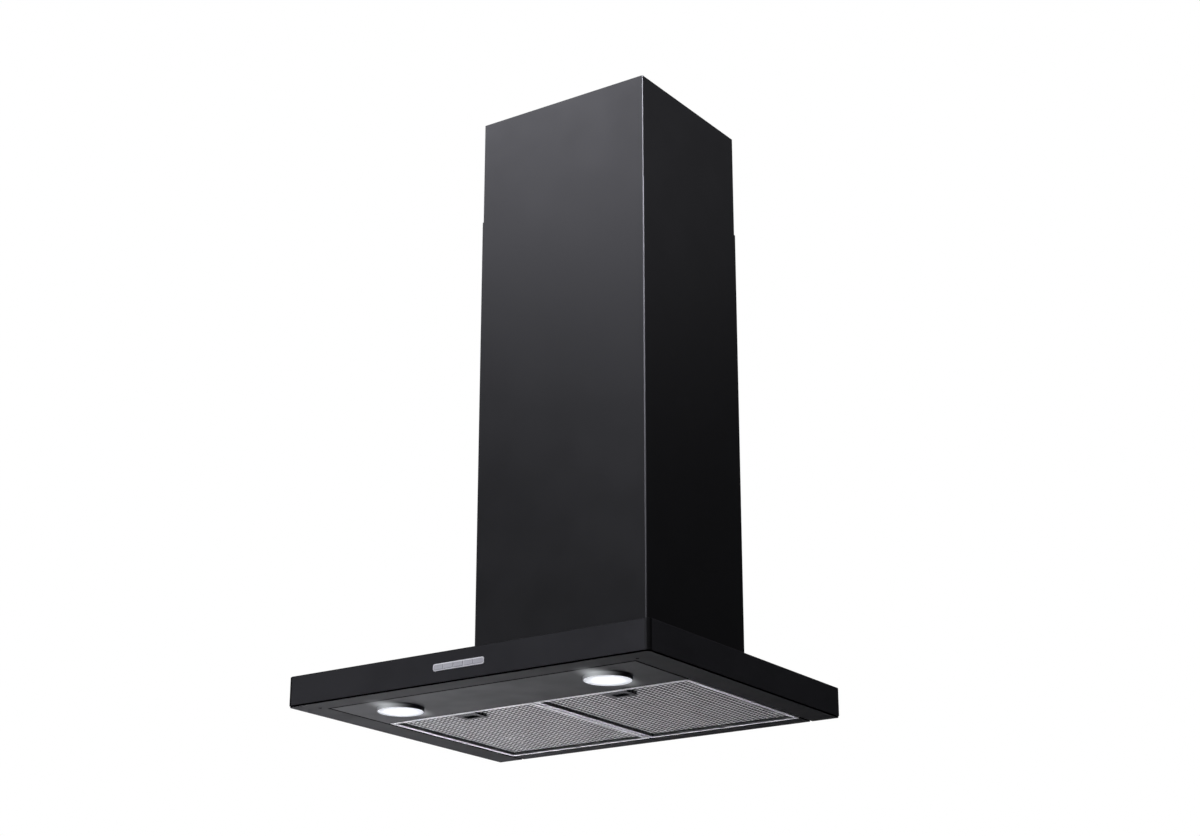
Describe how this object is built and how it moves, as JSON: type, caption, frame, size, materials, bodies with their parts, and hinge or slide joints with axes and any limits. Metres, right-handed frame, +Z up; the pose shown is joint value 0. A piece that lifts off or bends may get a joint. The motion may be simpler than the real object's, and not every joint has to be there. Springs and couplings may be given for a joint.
{
  "type": "chimney range hood",
  "caption": "Wall-mounted chimney range hood with a flat box canopy, mesh grease filters, round lamps, push buttons and a telescopic rectangular flue cover.",
  "frame": {"origin": "on the wall plane and the centre line, level with the underside of the canopy", "axes": "+X to the right as seen by the cook, +Y into the wall, +Z up along the flue"},
  "size_m": [0.6, 0.4939, 0.9546],
  "materials": {
    "black_steel": "satin black powder coat on folded sheet steel",
    "black_screw": "black-coated steel",
    "zinc_steel": "galvanised sheet, slightly spangled",
    "spring_steel": "bright ground steel",
    "lamp_trim": "black-coated pressed rim",
    "lamp_lens": "frosted acrylic",
    "heat_sink": "die-cast, plain",
    "silver_trim": "silver-coated ABS",
    "button_grey": "light grey ABS, fine texture",
    "black_plastic": "black glass-filled polypropylene",
    "filter_aluminium": "bright rolled aluminium",
    "mesh_aluminium": "expanded aluminium, dull",
    "motor_paint": "grey enamel",
    "can_white": "white moulded case"
  },
  "bodies": {
    "root": {"cable_gland": "black_plastic", "canopy_shell": "black_steel", "capacitor": "can_white", "capacitor_clip": "zinc_steel", "chassis_screws": "zinc_steel", "control_bezel": "silver_trim", "corner_brackets": "zinc_steel", "flap_axles": "spring_steel", "flue_locators": "zinc_steel", "lamp_body_left": "heat_sink", "lamp_body_right": "heat_sink", "lamp_clips": "zinc_steel", "lamp_lens_left": "lamp_lens", "lamp_lens_right": "lamp_lens", "lamp_panel": "black_steel", "lamp_ring_left": "lamp_trim", "lamp_ring_right": "lamp_trim", "lower_flue": "black_steel", "motor_bearings": "spring_steel", "motor_chassis": "zinc_steel", "motor_housing": "motor_paint", "motor_mount": "zinc_steel", "motor_screws": "zinc_steel", "outlet_collar": "black_plastic", "rear_rail": "black_steel", "scroll_side_left": "zinc_steel", "scroll_side_right": "zinc_steel", "scroll_wrapper": "zinc_steel", "switch_block": "black_plastic", "terminal_box": "black_plastic", "terminal_cover": "black_plastic", "underside_frame": "black_steel", "underside_screws": "black_screw"},
    "upper_cover": {"upper_flue": "black_steel", "flue_bracket": "zinc_steel"},
    "filter_left": {"filter_frame_left": "filter_aluminium", "filter_mesh_left": "mesh_aluminium", "filter_backing_left": "mesh_aluminium", "latch_guide_left": "zinc_steel", "latch_spring_left": "spring_steel"},
    "latch_left_slide": {"latch_left": "filter_aluminium"},
    "filter_right": {"filter_frame_right": "filter_aluminium", "filter_mesh_right": "mesh_aluminium", "filter_backing_right": "mesh_aluminium", "latch_guide_right": "zinc_steel", "latch_spring_right": "spring_steel"},
    "latch_right_slide": {"latch_right": "filter_aluminium"},
    "push_button_1": {"button_1": "button_grey"},
    "push_button_2": {"button_2": "button_grey"},
    "push_button_3": {"button_3": "button_grey"},
    "push_button_4": {"button_4": "button_grey"},
    "push_button_5": {"button_5": "button_grey"},
    "fan_wheel": {"impeller": "black_plastic", "impeller_disc": "black_plastic", "motor_shaft": "spring_steel", "motor_rotor": "motor_paint"},
    "damper_front": {"damper_flap_front": "black_plastic"},
    "damper_rear": {"damper_flap_rear": "black_plastic"}
  },
  "joints": [
    {"name": "upper_cover_slide", "type": "slide", "parent": "root", "child": "upper_cover", "axis": [0, 0, 1], "range_m": [-0.159, 0.19]},
    {"name": "filter_left_hinge", "type": "hinge", "parent": "root", "child": "filter_left", "pos_m": [-0.127, -0.0234, 0.003], "axis": [1, 0, 0], "range_deg": [0, 75]},
    {"name": "latch_left_pull", "type": "slide", "parent": "filter_left", "child": "latch_left_slide", "axis": [0, 1, 0], "range_m": [0, 0.006], "stiffness_N_per_m": 500, "springref_m": -0.004, "deforming": ["latch_spring_left"]},
    {"name": "filter_right_hinge", "type": "hinge", "parent": "root", "child": "filter_right", "pos_m": [0.127, -0.0234, 0.003], "axis": [1, 0, 0], "range_deg": [0, 75]},
    {"name": "latch_right_pull", "type": "slide", "parent": "filter_right", "child": "latch_right_slide", "axis": [0, 1, 0], "range_m": [0, 0.006], "stiffness_N_per_m": 500, "springref_m": -0.004, "deforming": ["latch_spring_right"]},
    {"name": "push_button_1_press", "type": "slide", "parent": "root", "child": "push_button_1", "axis": [0, 1, 0], "range_m": [0, 0.0025], "stiffness_N_per_m": 400, "springref_m": -0.002},
    {"name": "push_button_2_press", "type": "slide", "parent": "root", "child": "push_button_2", "axis": [0, 1, 0], "range_m": [0, 0.0025], "stiffness_N_per_m": 400, "springref_m": -0.002},
    {"name": "push_button_3_press", "type": "slide", "parent": "root", "child": "push_button_3", "axis": [0, 1, 0], "range_m": [0, 0.0025], "stiffness_N_per_m": 400, "springref_m": -0.002},
    {"name": "push_button_4_press", "type": "slide", "parent": "root", "child": "push_button_4", "axis": [0, 1, 0], "range_m": [0, 0.0025], "stiffness_N_per_m": 400, "springref_m": -0.002},
    {"name": "push_button_5_press", "type": "slide", "parent": "root", "child": "push_button_5", "axis": [0, 1, 0], "range_m": [0, 0.0025], "stiffness_N_per_m": 400, "springref_m": -0.002},
    {"name": "fan_spin", "type": "hinge", "parent": "root", "child": "fan_wheel", "pos_m": [0, -0.12, 0.152], "axis": [1, 0, 0], "continuous": true},
    {"name": "damper_front_swing", "type": "hinge", "parent": "root", "child": "damper_front", "pos_m": [0, -0.15186, 0.346], "axis": [-1, 0, 0], "range_deg": [0, 80]},
    {"name": "damper_rear_swing", "type": "hinge", "parent": "root", "child": "damper_rear", "pos_m": [0, -0.14286, 0.346], "axis": [1, 0, 0], "range_deg": [0, 80]}
  ]
}
